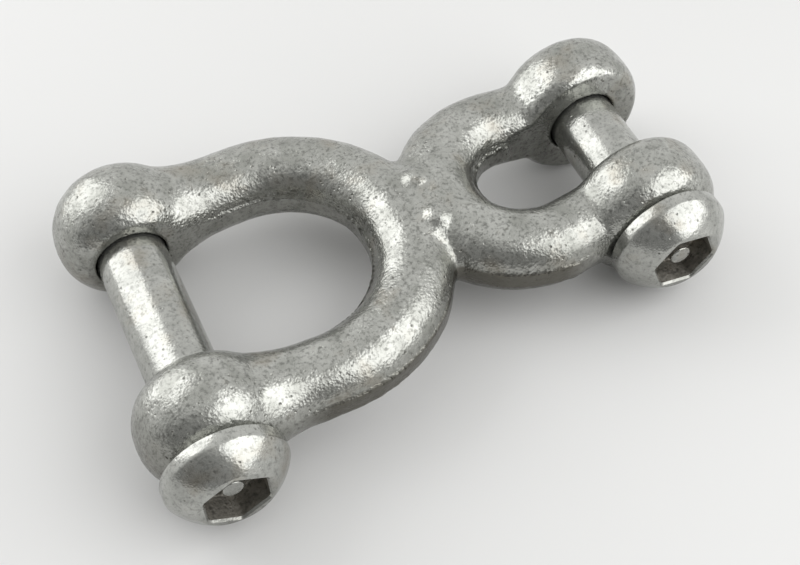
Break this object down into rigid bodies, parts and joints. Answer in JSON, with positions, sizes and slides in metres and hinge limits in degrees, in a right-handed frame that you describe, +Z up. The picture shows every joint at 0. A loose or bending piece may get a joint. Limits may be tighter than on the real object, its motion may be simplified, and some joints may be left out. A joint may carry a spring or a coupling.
{
  "type": "double shackle",
  "caption": "Forged galvanised double shackle: a large and a small bow back to back, each closed by a headed pin with a hex socket around a security post.",
  "frame": {"origin": "bottom centre of the bounding box, with the shackle lying flat", "axes": "+X along the shackle from the large bow to the small one; +Y along both pins, away from their heads; +Z up, across the forging's thickness"},
  "size_m": [0.1066, 0.066, 0.0244],
  "materials": {
    "forging_zinc": "hot-dip galvanised, mottled and slightly pitted",
    "pin_zinc": "hot-dip galvanised, smoother than the forging"
  },
  "bodies": {
    "forging": {"shackle_body": "forging_zinc"},
    "large_pin": {"pin_large_bow": "pin_zinc"},
    "small_pin": {"pin_small_bow": "pin_zinc"}
  },
  "joints": [
    {"name": "large_pin_withdraw", "type": "slide", "parent": "forging", "child": "large_pin", "axis": [0, -1, 0], "range_m": [0, 0.059]},
    {"name": "small_pin_withdraw", "type": "slide", "parent": "forging", "child": "small_pin", "axis": [0, -1, 0], "range_m": [0, 0.0405]}
  ]
}
